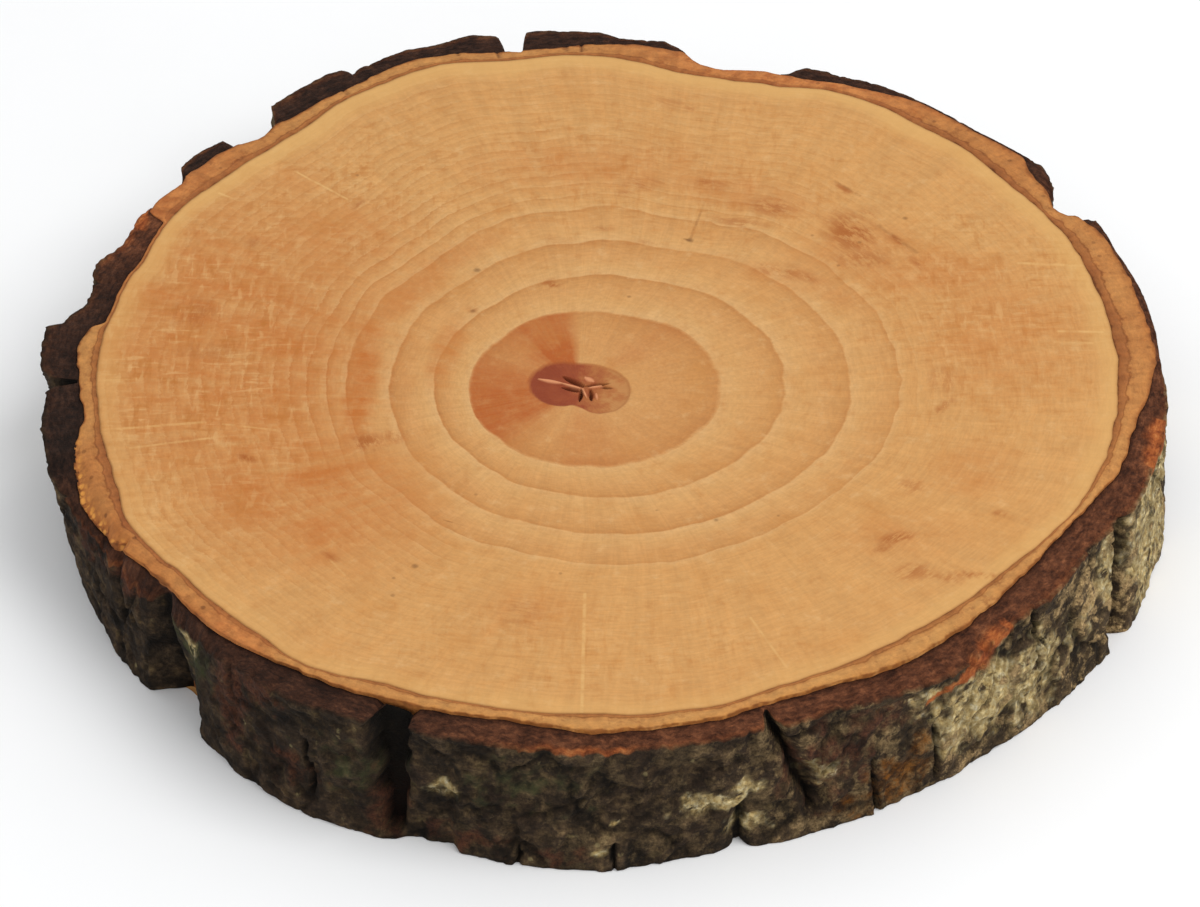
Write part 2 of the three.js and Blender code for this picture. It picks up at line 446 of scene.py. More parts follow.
def wood_face(reach_rows, height):
    """The points and fields of one sawn face, row by row from the given mean radii."""
    heading = np.arange(WOOD_COLUMNS) / WOOD_COLUMNS * FULL_TURN
    reach, heading = np.meshgrid(reach_rows, heading, indexing="ij")
    x, y = growth_point(reach, heading)
    plan = np.stack([x, y, np.zeros_like(x)], -1)
    waver = 0.55 * rough(plan, 13, 2) + 0.3 * rough(plan, 5, 2, 40)
    edge_calm = soft_step(MEAN_EDGE, MEAN_EDGE - 6, reach)
    age = np.interp(reach + waver * edge_calm * soft_step(2, 12, reach), [*RING_RADII, MEAN_EDGE], ages)
    ragged = rough(plan, 3, 2, 80)
    # where painted shade goes into the pith's splits
    split_shade = np.zeros(x.shape)
    sink = np.zeros(x.shape)
    for stroke in SPLITS_IN_PITH:
        groove = along_stroke(x, y, stroke)
        split_shade = np.maximum(split_shade, groove)
        sink = np.maximum(sink, groove * stroke[-1])
    sliver = np.zeros(x.shape)
    proud = np.zeros(x.shape)
    for stroke in SLIVERS:
        ridge = along_stroke(x, y, stroke)
        sliver = np.maximum(sliver, ridge)
        proud = np.maximum(proud, ridge * stroke[-1])
    lobes = pith_lobes(x, y, ragged)
    side = np.where(height > 0, 1.0, -1.0)
    rounding = 0.12 * soft_step(MEAN_EDGE - 0.5, MEAN_EDGE, reach)
    depth = np.maximum(0.02, sink * (1 - sliver) + 0.35 * lobes - proud + rounding)
    slide = 1 - height / THICKNESS
    points = np.stack([x + LEAN[0] * slide, y + LEAN[1] * slide, height - side * depth], -1)
    strength = np.interp(age, [0, 1, 4, 5, 9, 20], [0.85, 1, 0.9, 0.8, 0.6, 0.4])
    from_pith = np.degrees(np.arctan2(y - PITH[1], x - PITH[0])) % FULL_TURN
    seen = by_heading(RINGS_SEEN, from_pith)
    seen = seen + (np.maximum(seen, 0.7) - seen) * soft_step(5.0, 3.4, age)
    patchy = 1 + 0.45 * rough(plan, 24, 2, 11)
    patchy = patchy + 0.5 * rough(plan, (11, 11, 1), 2, 14) * soft_step(3, 6, age)
    wedge_fade = 1 - 0.3 * soft_step(15, 21, reach) * (from_pith < 150)
    last_years = soft_step(MEAN_EDGE - 7, MEAN_EDGE - 2, reach + 2 * rough(plan, 15, 2, 9))
    fields = {
        "age": age,
        "plan": plan,
        "spoke": np.stack([np.cos(np.radians(heading)), np.sin(np.radians(heading)), 0 * x], -1),
        "ring_strength": np.clip(strength * seen * patchy, 0, 1.2),
        "reach": reach,
        "warmth": np.clip(oval_patches(x, y, WARM_PATCHES), 0, 1),
        "heart": by_heading(HEART_WARMTH, from_pith) * wedge_fade,
        "stain": np.clip(oval_patches(x, y, STAINS), 0, 1),
        "pith": lobes,
        "split_shade": split_shade * (1 - sliver),
        "splinter": sliver,
        "saw_marks": 0.15 + oval_patches(x, y, SAW_PATCHES),
        "sapwood": by_heading(SAPWOOD, from_pith) * last_years,
        "rim": soft_step(MEAN_EDGE - 0.7, MEAN_EDGE, reach),
    }
    return points, fields


# %% [markdown]
# The upper and the lower face are the two ends of the same wood, so their patterns match, and one
# flat map serves both. The faces are joined by a plain wall that stays hidden behind the bark.

# %% The wood disc
upper_points, upper_fields = wood_face(upper_rows, THICKNESS)
lower_points, lower_fields = wood_face(lower_rows, 0.0)
wall_points = (upper_points[-1:] + lower_points[-1:]) / 2
wood_points = np.concatenate([lower_points, wall_points, upper_points[::-1]])
wood_fields = {
    field: np.concatenate([lower_fields[field], upper_fields[field][-1:], upper_fields[field][::-1]])
    for field in upper_fields
}
wood_places = wood_fields["plan"][..., :2].copy()
wood_places[len(lower_rows)] *= 1.05  # the hidden wall gets a thin border outside the face
lower_hub = (PITH[0] + LEAN[0], PITH[1] + LEAN[1], 0.4)
upper_hub = (*PITH, THICKNESS - 1.2)
wood = grid_piece(
    "wood", wood_points, wood_fields, around(plan_to_map(wood_places)),
    caps=((0, lower_hub, False), (len(wood_points) - 1, upper_hub, True)),
)

# %% [markdown]
# ## The outer bark
#
# Outer bark is dead cork that the growing trunk has split into plates. It could be a displaced
# cylinder, but its edge on the sawn face matters as much as its side: there it is thick on one
# heading and broken away on the next. So the piece is a closed ring with a true cross-section,
# whose outside comes from the solid's outline, then from plates, grain and deep cracks in turn.

# %% Cracks, chips and tears in the bark
# Headings at the bottom and at the top, half widths there, depth, from height, to height
CRACKS = [
    (250.5, 250.2, 1.5, 4.6, 9, 1.5, 33), (222.3, 219.8, 4.6, 2.2, 5, 0, 28),
    (213.6, 212.4, 1.5, 1.5, 3.5, 12, 33), (283.2, 283.4, 0.8, 0.8, 3.5, 0, 10),
    (291.6, 286.3, 0.7, 1, 4.5, 5, 33), (332.6, 334.4, 1.5, 1.8, 6.5, 2, 29),
    (262.5, 262, 0.5, 0.5, 1.6, 0, 5), (271.5, 271.9, 0.5, 0.5, 1.8, 0, 6),
    (297.2, 296, 0.6, 0.6, 2.4, 0, 14), (304.6, 303, 0.7, 0.7, 2.6, 2, 16),
    (318.5, 317.2, 0.6, 0.9, 2, 14, 30), (243, 241.5, 0.6, 0.6, 1.6, 6, 20),
    (16, 13, 1.4, 1.4, 4, 0, 26), (47, 50, 1.3, 1.3, 3.5, 0, 24), (87.5, 88.2, 1.3, 1.3, 5, 0, 20),
    (116.5, 118.2, 1.3, 1.3, 4, 0, 25), (156, 154, 1.5, 1.5, 3.5, 0, 26),
    (186, 184, 1.3, 1.3, 4.5, 0, 33), (34, 30, 0.8, 0.8, 3, 6, 30), (68, 65, 0.8, 0.8, 3, 0, 18),
    (104, 107, 0.9, 0.9, 3.5, 4, 30), (139, 142, 0.9, 0.9, 3, 0, 22), (169, 166, 0.9, 0.9, 3, 6, 30),
    (199, 197, 0.9, 0.9, 3, 2, 20),
]
INNER_DROP = [  # how far below the sawn face the bark begins beside the inner bark
    (0, 0.2), (24, 0.2), (26, 2.5), (31, 2.5), (33, 0.25), (66, 0.25), (69, 1.6), (78, 1.6),
    (80.5, 0.3), (98.4, 0.3), (98.9, 4), (100.2, 4), (100.8, 0.3), (129.5, 0.3), (131, 3), (135.5, 3),
    (137, 0.3), (144, 0.3), (146, 2), (150, 2), (152, 0.4), (196, 0.4), (201, 2.6), (207, 4.2),
    (211.5, 3.6), (214, 1.4), (232, 1.4), (235, 1.1), (248, 1), (249.5, 3.5), (251.6, 3.5),
    (252.6, 0.9), (308, 0.9), (312, 0.7), (345, 0.5), (352, 0.3),
]
OUTER_DROP = [  # and how far below it the bark's own outer corner is
    (0, 0.25), (24, 0.25), (26, 3.2), (31, 3.2), (33, 0.3), (66, 0.3), (69, 2), (78, 2), (80.5, 0.3),
    (98.4, 0.3), (98.9, 5), (100.2, 5), (100.8, 0.3), (129.5, 0.4), (131, 4), (135.5, 4), (137, 0.4),
    (144, 0.4), (146, 2.6), (150, 2.6), (152, 0.6), (158, 1.2), (170, 0.8), (175, 0.5), (196, 0.7),
    (201, 3.2), (207, 5.2), (212, 6.2), (224, 6), (231, 4), (235, 1.6), (248, 1.3), (262, 1.9),
    (275, 2.2), (284, 1.6), (300, 2), (308, 2.8), (313, 1.4), (330, 1.5), (345, 1.3), (352, 0.5),
]
BARK_REACH = 125.0  # the bark's mean distance from the middle
BARK_COLUMNS = 1280
TOP_STEPS, SIDE_STEPS, UNDER_STEPS, INSIDE_STEPS = 7, 52, 6, 12
PATH_STEPS = 80  # points along each crack's winding path


def crack_cut(heading, height):
    """How far the cracks cut in at each point of the side, and how far inside one it is, which sets the
    painted shade in the cracks.
    """
    cut = np.zeros(heading.shape)
    inside = np.zeros(heading.shape)
    steps = np.linspace(0, THICKNESS, PATH_STEPS)
    for number, (bottom, top, low_width, high_width, depth, start, end) in enumerate(CRACKS):
        line = np.stack([0 * steps + 13.7 * number, 0 * steps, steps], -1)
        path = bottom + (top - bottom) * steps / THICKNESS + 0.45 * rough(line, 7, 3)
        width = low_width + (high_width - low_width) * steps / THICKNESS
        width = width * (1 + 0.4 * rough(line, 5, 3, 40))
        off = np.abs(turn_apart(heading, np.interp(height, steps, path))) * math.radians(BARK_REACH)
        off = off / np.interp(height, steps, width)
        reach = soft_step(start - 1.5, start + 1.5, height) * soft_step(end + 1.5, end - 1.5, height)
        cut = np.maximum(cut, depth * reach * soft_step(1.1, 0.55, off))
        inside = np.maximum(inside, reach * soft_step(1.15, 0.8, off))
    return cut, inside


# %% The bark's outside
heading = np.arange(BARK_COLUMNS) / BARK_COLUMNS * FULL_TURN
inner_drop = by_heading(INNER_DROP, heading)
outer_drop = by_heading(OUTER_DROP, heading)
chip_noise = rough(on_trunk(heading, 120.0, 0.0), 2.2, 3, 5)
outer_drop = outer_drop * (1 + 0.45 * chip_noise) + 0.25 * chip_noise**2
side_share = np.linspace(0, 1, SIDE_STEPS + 1)[:, None]
side_height = (THICKNESS - outer_drop) * (1 - side_share)
side_heading = np.broadcast_to(heading, side_height.shape)
skin_points = on_trunk(side_heading, BARK_REACH, side_height)
torn_heading = side_heading + 0.45 * rough(skin_points, (6, 6, 9), 3, 21)
swell = rough(skin_points, (20, 20, 46), 3)
bent = skin_points + 1.6 * np.stack([rough(skin_points, 7, 2, shift) for shift in (3, 13, 23)], -1)
border, tone = plates(bent, (9.5, 9.5, 12.5))
small_border, small_tone = plates(bent, (3.4, 3.4, 3.0), 50)
grain = rough(skin_points, (2.6, 2.6, 3.2), 4, 31)
scaly = soft_step(-0.35, 0.45, rough(skin_points, 17, 2, 61))
plate_gap = soft_step(0.16, 0.02, border) * (0.35 + 0.65 * scaly)
small_gap = soft_step(0.2, 0.03, small_border) * (0.3 + 0.7 * scaly)
relief = 0.75 * swell + 0.8 * (tone - 0.5) * soft_step(0.03, 0.2, border) - 1.0 * plate_gap
relief += 0.5 * (small_tone - 0.5) * soft_step(0.03, 0.2, small_border) - 0.45 * small_gap + 0.34 * grain
calm_rim = 0.45 + 0.55 * soft_step(0, 6, THICKNESS - side_height)
calm_foot = 0.5 + 0.5 * soft_step(0, 5, side_height)
relief = 0.3 + relief * calm_rim * calm_foot
cut, in_crack = crack_cut(side_heading, side_height)
floor_radius = bast_radius(side_heading, side_height) + BARK_SKIN
thick = solid_radius(torn_heading, side_height) - floor_radius
side_radius = floor_radius + np.maximum(thick + relief * soft_step(-0.5, 3.0, thick) - cut, 0)
# Painted shade: how dark the cracks and the gaps between the plates are painted
crack_shade = np.clip(in_crack + 0.6 * plate_gap + 0.35 * small_gap, 0, 1)
print("outer bark", round(float(thick.min()), 1), "to", round(float(thick.max()), 1), "mm thick")

# %% [markdown]
# The cross-section is closed row by row: up the hidden inner wall, over the sawn face to the outer
# corner, down the side and back under the slice.

# %% The closed ring of bark
inside_share = np.arange(1, INSIDE_STEPS)[:, None] / INSIDE_STEPS
inside_height = (THICKNESS - inner_drop) * inside_share
inside_radius = bast_radius(heading, inside_height) - DEEP_OVERLAP
inner_radius = bast_radius(heading, THICKNESS)[None, :] - OVERLAP
lower_radius = bast_radius(heading, 0.0)[None, :] - DEEP_OVERLAP
top_share = np.linspace(0, 1, TOP_STEPS + 1)[:-1, None]
top_radius = inner_radius + (side_radius[:1] - inner_radius) * top_share
top_points = on_trunk(heading, top_radius, 0.0)
top_noise = rough(top_points, (1.6, 1.6, 1), 3, 71)
top_height = THICKNESS - inner_drop - (outer_drop - inner_drop) * top_share**1.6
top_height = top_height + 0.28 * top_noise * (top_share > 0) - 0.1
under_share = np.linspace(0, 1, UNDER_STEPS + 1)[1:, None]
under_radius = side_radius[-1:] + (lower_radius - side_radius[-1:]) * under_share
ring_radius = np.vstack([inside_radius, top_radius, side_radius, under_radius])
top_height = np.minimum(top_height, THICKNESS - 0.05)  # never proud of the sawn face
under_height = np.zeros_like(under_radius)
ring_height = np.vstack([inside_height, top_height, side_height, under_height])
bark_points = on_trunk(heading, ring_radius, ring_height)

# %% [markdown]
# What the finish has to know is worked out on the same rows: which points were sawn, where cracks
# and gaps between plates get painted shade, and where lichen, rust-coloured algae, moss and freshly
# torn orange fibres are.

# %% Where lichen, rust, moss and torn fibres are
LICHEN = [  # heading, height, half width in degrees, half height, strength
    (309.5, 17, 5.5, 10, 1), (317.5, 13, 4.2, 10, 0.95), (343, 16, 6.6, 22, 1.5),
    (330.5, 21, 2.2, 7, 0.8), (324, 14, 3, 5, 0.35), (280.8, 13.5, 3.6, 2.6, 0.9),
    (283.5, 15.5, 2.2, 2.4, 0.8), (255.7, 15.5, 1.9, 2.2, 0.9), (284.5, 7, 2.4, 3.4, 0.5),
    (291.5, 15, 1.8, 4, 0.5), (270, 4.5, 0.7, 0.9, 0.9), (267.5, 8.5, 0.6, 0.6, 0.9),
    (271.5, 11.5, 0.5, 0.6, 0.9), (225.6, 25, 1.6, 3, 0.7), (190, 14, 1.2, 3, 0.4),
    (302, 25, 2.5, 3, 0.45), (8, 13, 6, 9, 0.9), (27, 20, 4, 7, 0.8), (58, 11, 7, 7, 0.9),
    (80, 22, 3, 6, 0.7), (108, 14, 6, 10, 0.9), (127, 22, 4, 5, 0.7), (150, 9, 5, 6, 0.8),
    (176, 13, 4, 8, 0.8),
]
RUST = [  # the same numbers, as in the next two lists
    (299.5, 6, 3.2, 6.5, 1), (295, 3, 2.4, 3, 0.8), (302, 13, 1.6, 4, 0.7), (44, 22, 4, 7, 0.8),
    (134, 9, 3, 7, 0.8),
]
MOSS = [
    (226, 22, 3, 8, 0.9), (247, 16, 5, 7, 0.4), (190, 16, 3, 7, 0.6), (262, 20, 6, 6, 0.35),
    (92, 8, 4, 6, 0.7),
]
RED_PATCHES = [
    (214, 27, 5, 5, 0.6), (206, 24, 3, 6, 0.45), (232.5, 20, 2.2, 12, 0.9), (236, 27, 3, 5, 0.6),
    (250, 8, 2, 9, 0.8), (292, 18, 5, 9, 0.6), (297, 24, 5, 5, 0.5), (258, 4, 4, 3, 0.4),
    (155, 26, 5, 5, 0.8), (240, 12, 4, 4, 0.4), (266, 3, 3, 3, 0.5),
]
TEARS = [  # from heading, height to heading, height, then half width in millimetres
    (313.6, 29.6, 306.4, 26.2, 2.5), (307, 26.6, 302.6, 24, 1), (349.5, 31, 342.5, 29.8, 2.2),
    (151.5, 31.5, 155, 31, 1.4),
]
TORN_REACH = 124  # how far from the middle the tears are
RED_RIM = [  # how far a red line runs along the bark's corner, by heading
    (0, 0), (150, 0.2), (156, 0.7), (164, 0.1), (200, 0), (212, 0.3), (222, 0), (258, 0), (263, 0.3),
    (267, 0.7), (272, 0.75), (274, 0.1), (286, 0.2), (296, 0), (318, 0.25), (328, 0.1), (345, 0.2),
    (352, 0.1),
]
CORK_WARMTH = [  # how reddish the sawn cork is
    (0, 0.7), (20, 0.5), (40, 0.3), (60, 0.2), (95, 0.2), (148, 0.12), (153, 0.9), (159, 0.8),
    (164, 0.35), (172, 0.2), (196, 0.05), (205, 0.3), (214, 0.45), (222, 0.2), (240, 0.25), (250, 0.35),
    (262, 0.65), (280, 0.8), (345, 0.85),
]
DUSTY = [  # how far the bark is covered with pale dust and thin lichen
    (0, 0.7), (40, 0.5), (90, 0.3), (150, 0.15), (200, 0), (250, 0.02), (260, 0.12), (280, 0.16),
    (287, 0.36), (300, 0.5), (328, 0.85), (345, 0.95),
]


def side_patches(heading, height, patches, ragged):
    """Soft patches on the bark with ragged borders."""
    strongest = np.full(heading.shape, -1.0)
    for at, lift, half_turn, half_height, strength in patches:
        off = np.hypot(turn_apart(heading, at) / half_turn, (height - lift) / half_height)
        strongest = np.maximum(strongest, strength * (1.35 - off))
    return soft_step(0.12, 0.62, strongest + 0.55 * ragged)


def tear_strips(heading, height):
    """1 on the strips where a splinter of bark came away."""
    strongest = np.zeros(heading.shape)
    for from_turn, from_height, to_turn, to_height, half_width in TEARS:
        run = math.radians(to_turn - from_turn) * TORN_REACH
        rise = to_height - from_height
        across = np.radians(turn_apart(heading, from_turn)) * TORN_REACH
        along = np.clip((across * run + (height - from_height) * rise) / (run**2 + rise**2), 0, 1)
        off = np.hypot(across - along * run, height - from_height - along * rise)
        taper = 0.4 + 0.6 * np.sin(np.pi * np.clip(along, 0.08, 0.92))
        strongest = np.maximum(strongest, soft_step(1.15, 0.8, off / (half_width * taper)))
    return strongest


ring_rows = len(ring_radius)
ring_heading = np.broadcast_to(heading, ring_radius.shape)
ring_ragged = rough(bark_points, 3.2, 4, 91)
top_start = len(inside_radius)
side_start = top_start + len(top_radius)
side_rows = slice(side_start, side_start + len(side_radius))
is_side = np.zeros(ring_radius.shape)
is_side[side_rows] = 1
ring_crack_shade = np.zeros(ring_radius.shape)
ring_crack_shade[side_rows] = crack_shade
ring_tone = np.full(ring_radius.shape, 0.5)
ring_tone[side_rows] = 0.6 * tone + 0.4 * small_tone
sawn = 1 - is_side
sawn[side_start] = 0.4
outer_share = np.zeros(ring_radius.shape)
outer_share[top_start:side_start] = top_share
outer_share[side_start] = 1
red_line = by_heading(RED_RIM, ring_heading) * soft_step(0.72, 0.92, outer_share + 0.15 * ring_ragged)
tear_room = np.where(is_side > 0, 1, soft_step(0.45, 0.75, outer_share + 0.2 * ring_ragged))
bark_fields = {
    "sawn": sawn,
    "crack_shade": ring_crack_shade,
    "plate": ring_tone,
    "shade_line": soft_step(0.3, 0.0, outer_share) * (np.arange(ring_rows) < side_start)[:, None],
    "torn": np.clip(np.maximum(red_line, tear_strips(ring_heading, ring_height) * tear_room), 0, 1),
    "lichen": side_patches(ring_heading, ring_height, LICHEN, ring_ragged) * is_side,
    "rust": side_patches(ring_heading, ring_height, RUST, ring_ragged) * is_side,
    "moss": side_patches(ring_heading, ring_height, MOSS, ring_ragged) * is_side,
    "reddish": side_patches(ring_heading, ring_height, RED_PATCHES, ring_ragged) * is_side,
    "cork_warmth": by_heading(CORK_WARMTH, ring_heading),
    "dusty": by_heading(DUSTY, ring_heading),
    "from_middle": ring_radius,
}
TOP_PLACE, SIDE_PLACE, UNDER_PLACE = 0.08, 0.28, 0.84  # where each starts across a strip of the flat map
bark_rows = np.concatenate([
    TOP_PLACE * inside_share[:, 0],
    np.linspace(TOP_PLACE, SIDE_PLACE, len(top_radius), endpoint=False),
    np.linspace(SIDE_PLACE, UNDER_PLACE, len(side_radius)),
    UNDER_PLACE + (1 - UNDER_PLACE) * under_share[:, 0],
])
outer_bark = grid_piece(
    "outer_bark", bark_points[::-1], {field: values[::-1] for field, values in bark_fields.items()},
    strip_map(np.append(bark_rows[::-1], 0), BARK_COLUMNS, 4),
)

# %% [markdown]
# ## The inner bark
#
# Inner bark, or bast, is the soft fibrous layer under the cork. On the sawn face it shows two
# bands: a browner one against the wood and a paler one outside it, with a thin dark line where the
# wood begins. Its outer edge crumbles, most of all on the left, where it slopes down and has
# broken into orange crumbs. It is a closed ring too, tucked under both of its neighbours.

# %% The ring of inner bark
BAST_REACH = 120  # the inner bark's mean distance from the middle
BAST_TUCK = 0.15  # how far the inner bark runs in under the wood's edge
BAST_COLUMNS = 1080
FACE_STEPS, WALL_STEPS, FOOT_STEPS = 14, 16, 6
BAST_SLOPE = [  # how far the inner bark's outer edge slopes down, by heading
    (0, 0.15), (195, 0.15), (200, 2), (206, 3.4), (210.5, 2.6), (213.5, 0.8), (217, 0.3), (232, 0.3),
    (240, 0.15),
]
CRUMBLY = [  # how far that edge has crumbled
    (0, 0), (192, 0), (199, 1), (210, 1), (214, 0.2), (222, 0), (262, 0.2), (300, 0.25), (306, 0),
]
INNER_BAND = [  # the share of the inner bark's width that its browner band takes
    (0, 0.34), (35, 0.27), (50, 0.24), (75, 0.24), (130, 0.24), (165, 0.3), (195, 0.3), (215, 0.24),
    (262, 0.22), (300, 0.24), (330, 0.28), (350, 0.34),
]
TAN = [  # how pale the inner bark is
    (0, 0.45), (20, 0.5), (38, 0.35), (52, 0.25), (62, 0.3), (70, 0.05), (80, 0.25), (90, 0.55),
    (110, 0.6), (128, 0.6), (134, 0.45), (146, 0.3), (153, 0.05), (172, 0.05), (176, 0.7), (184, 0.55),
    (193, 0.45), (203, 0.2), (214, 0.2), (226, 0.4), (240, 0.6), (256, 0.7), (268, 0.8), (300, 0.8),
    (325, 0.75), (343, 0.75), (350, 0.5),
]
ORANGE = [  # and how orange
    (0, 0.35), (30, 0.25), (48, 0.35), (56, 0.8), (64, 1), (80, 0.8), (88, 0.3), (110, 0.15),
    (130, 0.1), (144, 0.7), (153, 0.8), (158, 0.1), (185, 0.1), (196, 0.25), (226, 0.3), (229, 0.9),
    (233, 0.8), (237, 0.2), (250, 0.15), (300, 0.1), (345, 0.25),
]
# Drying splits: heading and half width
SPLITS = [(92, 0.9), (93.8, 0.8), (101.6, 0.8), (105.9, 0.6), (120.5, 0.7)]
turn = np.arange(BAST_COLUMNS) / BAST_COLUMNS * FULL_TURN
wood_border = wood_radius(turn)
top_border = np.maximum(bast_radius(turn, THICKNESS), wood_border + 0.35)
low_wood = wood_border + lean_shift(turn, 0.0)
face_share = np.linspace(0, 1, FACE_STEPS + 1)[:, None]
face_radius = wood_border - BAST_TUCK + (top_border - wood_border + BAST_TUCK) * face_share
face_turn = np.broadcast_to(turn, face_radius.shape)
face_points = on_trunk(face_turn, face_radius, 0.0)
crumbs = rough(face_points, 1.5, 3, 15)
crumbly = by_heading(CRUMBLY, face_turn)
slope = by_heading(BAST_SLOPE, face_turn) * soft_step(0.5, 1.0, face_share)
groove = 0.16 * soft_step(0.1, 0.0, face_share)
split = np.zeros(face_radius.shape)
for at, half_width in SPLITS:
    off = np.abs(turn_apart(face_turn, at)) * math.radians(BAST_REACH)
    split = np.maximum(split, soft_step(half_width, 0.15, off + 0.5 * np.abs(crumbs)) * (face_share > 0.3))
face_height = THICKNESS - 0.03 - slope - groove - 0.35 * split
face_height -= np.maximum(0, (0.1 + 1.0 * crumbly * soft_step(0.6, 0.9, face_share)) * crumbs)
wall_share = np.linspace(0, 1, WALL_STEPS + 1)[1:, None]
wall_height = face_height[-1:] * (1 - wall_share)
wall_turn = np.broadcast_to(turn, wall_height.shape)
wall_radius = bast_radius(wall_turn, wall_height) - 0.35  # held in, so it never shows in a crack
wall_radius = np.maximum(wall_radius, wood_border + lean_shift(turn, wall_height) + 0.3)
foot_share = np.linspace(0, 1, FOOT_STEPS + 1)[1:, None]
foot_radius = wall_radius[-1:] + (low_wood - BAST_TUCK - wall_radius[-1:]) * foot_share
bast_ring_radius = np.vstack([face_radius, wall_radius, foot_radius])
bast_ring_height = np.vstack([face_height, wall_height, np.full(foot_radius.shape, 0.02)])
bast_points = on_trunk(turn, bast_ring_radius, bast_ring_height)
layer = np.vstack([
    np.broadcast_to(face_share, face_radius.shape),
    np.ones(wall_radius.shape),
    np.broadcast_to(1 - foot_share, foot_radius.shape),
])
bast_turn = np.broadcast_to(turn, layer.shape)
inner_band = by_heading(INNER_BAND, bast_turn)
BAND_EDGE = 0.4  # where the finish changes from the inner band to the outer one
band = np.where(
    layer < inner_band, BAND_EDGE * layer / inner_band,
    BAND_EDGE + (1 - BAND_EDGE) * (layer - inner_band) / (1 - inner_band),
)
bast_fields = {
    "layer": layer,
    "band": band,
    "tan": by_heading(TAN, bast_turn) + 0.25 * rough(bast_points, (9, 9, 4), 3, 33),
    "orange": by_heading(ORANGE, bast_turn),
    "crumbly": by_heading(CRUMBLY, bast_turn),
    "split": np.vstack([split, np.zeros((len(layer) - len(split), BAST_COLUMNS))]),
    "from_middle": bast_ring_radius,
}
FACE_PLACE, WALL_PLACE, FOOT_PLACE = 0.08, 0.58, 0.74  # the same for the inner bark's strip
bast_rows = np.concatenate([
    np.linspace(FACE_PLACE, WALL_PLACE, len(face_radius)),
    np.linspace(WALL_PLACE, FOOT_PLACE, WALL_STEPS + 1)[1:],
    FOOT_PLACE + (1 - FOOT_PLACE) * foot_share[:, 0],
])
inner_bark = grid_piece(
    "inner_bark", bast_points[::-1], {field: values[::-1] for field, values in bast_fields.items()},
    strip_map(np.append(bast_rows[::-1], 0), BAST_COLUMNS, 6),
)

# %% [markdown]
# ## Finishes
#
# A finish is a small network of shader nodes. To keep it readable, a painter object makes the
# nodes and joins them, and every method hands back an output that the next one can use. Colours
# are written as six-digit codes, as on a paint chart.

# %% A painter that makes and joins shader nodes


def paint(code):
    """The linear colour for a six-digit code."""
    channels = [int(code[start:start + 2], 16) / 255 for start in (0, 2, 4)]
    linear = [c / 12.92 if c <= 0.04045 else ((c + 0.055) / 1.055) ** 2.4 for c in channels]
    return (*linear, 1.0)


